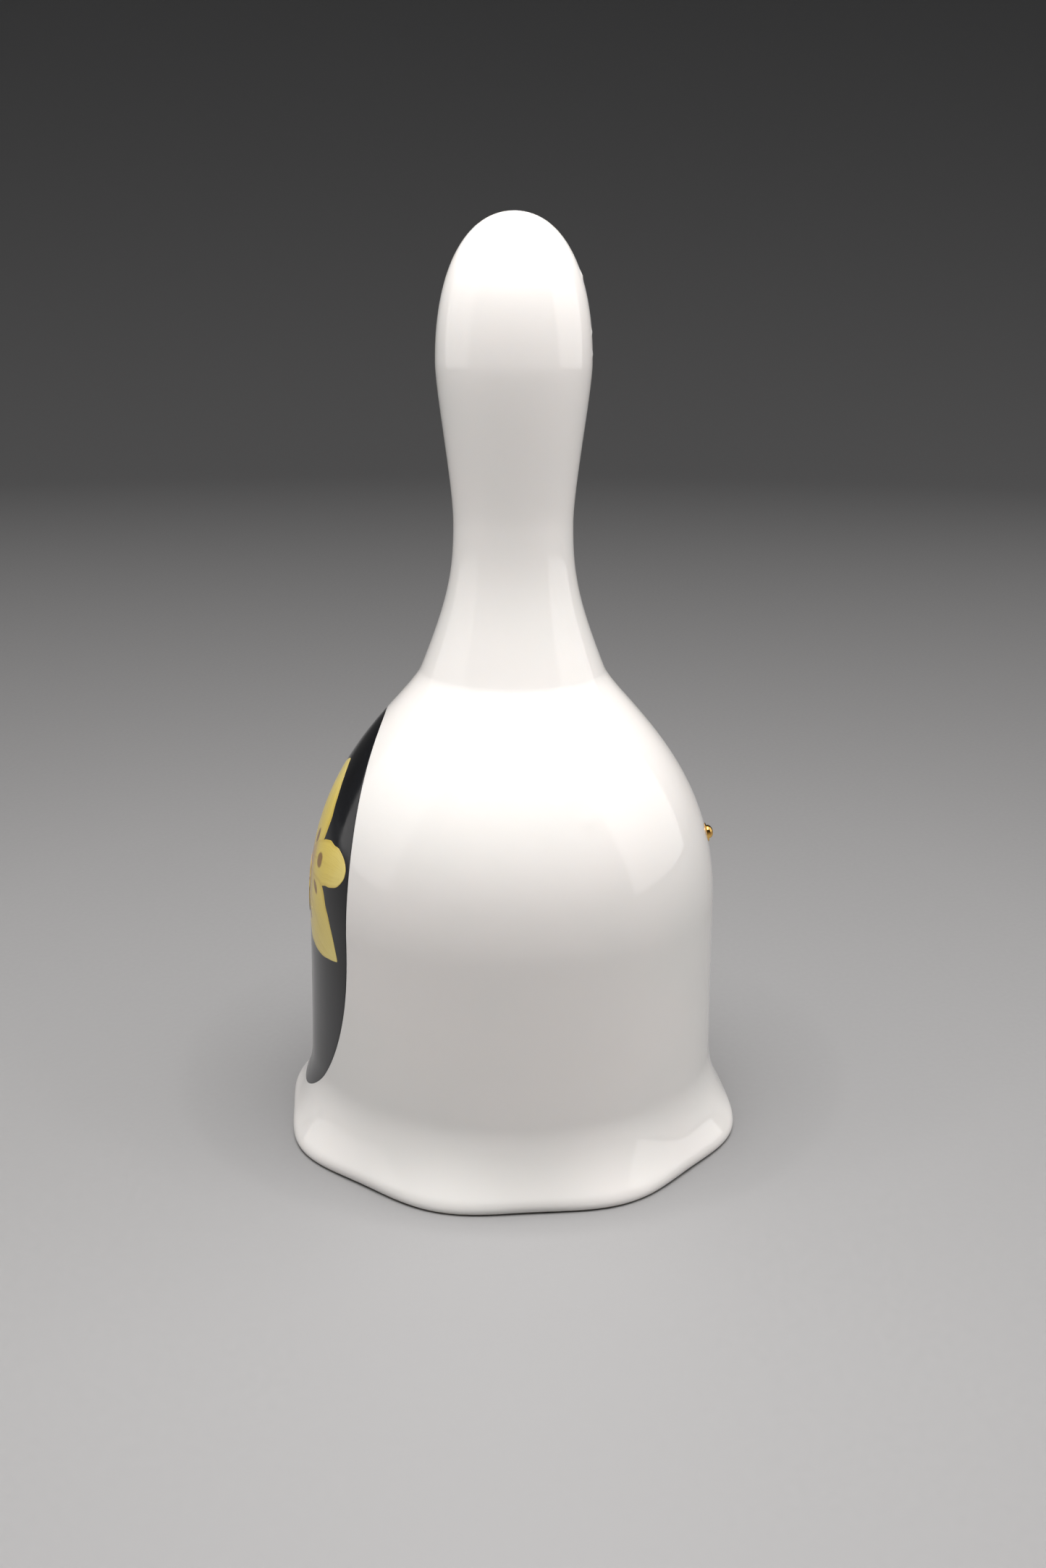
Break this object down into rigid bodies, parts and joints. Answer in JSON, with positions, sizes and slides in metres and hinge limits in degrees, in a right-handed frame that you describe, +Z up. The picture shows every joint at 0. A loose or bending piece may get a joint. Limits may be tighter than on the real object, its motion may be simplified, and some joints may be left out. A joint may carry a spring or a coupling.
{
  "type": "porcelain hand bell",
  "caption": "Porcelain hand bell with a fluted skirt, a rounded hollow handle, a black oval orchid transfer and a ball clapper hung on wire.",
  "frame": {"origin": "centre of the foot, on the plane that the skirt stands on", "axes": "+Z up along the bell's axis towards the handle, -Y towards the viewer who faces the orchid transfer, +X to that viewer's right"},
  "size_m": [0.072, 0.072, 0.14],
  "materials": {
    "porcelain": "glossy warm white glaze",
    "black_enamel": "glossy black fired transfer",
    "yellow_enamel": "yellow fired transfer, satin gloss",
    "rust_enamel": "rust-brown fired transfer, satin gloss",
    "gilt": "bright gilding",
    "plaster": "matt cast plaster",
    "brass_wire": "drawn brass wire, slightly dull",
    "ball_porcelain": "glossy white glaze",
    "brass_crimp": "pressed brass"
  },
  "bodies": {
    "bell": {"bell_cup": "porcelain", "handle": "porcelain", "oval_transfer": "black_enamel", "orchid_sepals": "yellow_enamel", "orchid_petals": "yellow_enamel", "orchid_lip": "rust_enamel", "gilt_bead": "gilt", "crown_plug": "plaster", "hanger_eye": "brass_wire"},
    "link": {"hook_link": "brass_wire"},
    "clapper": {"clapper_rod": "brass_wire", "ball_stop": "brass_crimp"},
    "ball": {"clapper_ball": "ball_porcelain"}
  },
  "joints": [
    {"name": "link_swing", "type": "hinge", "parent": "bell", "child": "link", "pos_m": [0, 0, 0.062], "axis": [1, 0, 0], "range_deg": [-33, 33]},
    {"name": "rod_swing", "type": "hinge", "parent": "link", "child": "clapper", "pos_m": [0, 0, 0.0556], "axis": [0, 1, 0], "range_deg": [-8, 8]},
    {"name": "ball_spin", "type": "hinge", "parent": "clapper", "child": "ball", "pos_m": [0, 0, 0.024], "axis": [0, 0, 1], "continuous": true}
  ]
}
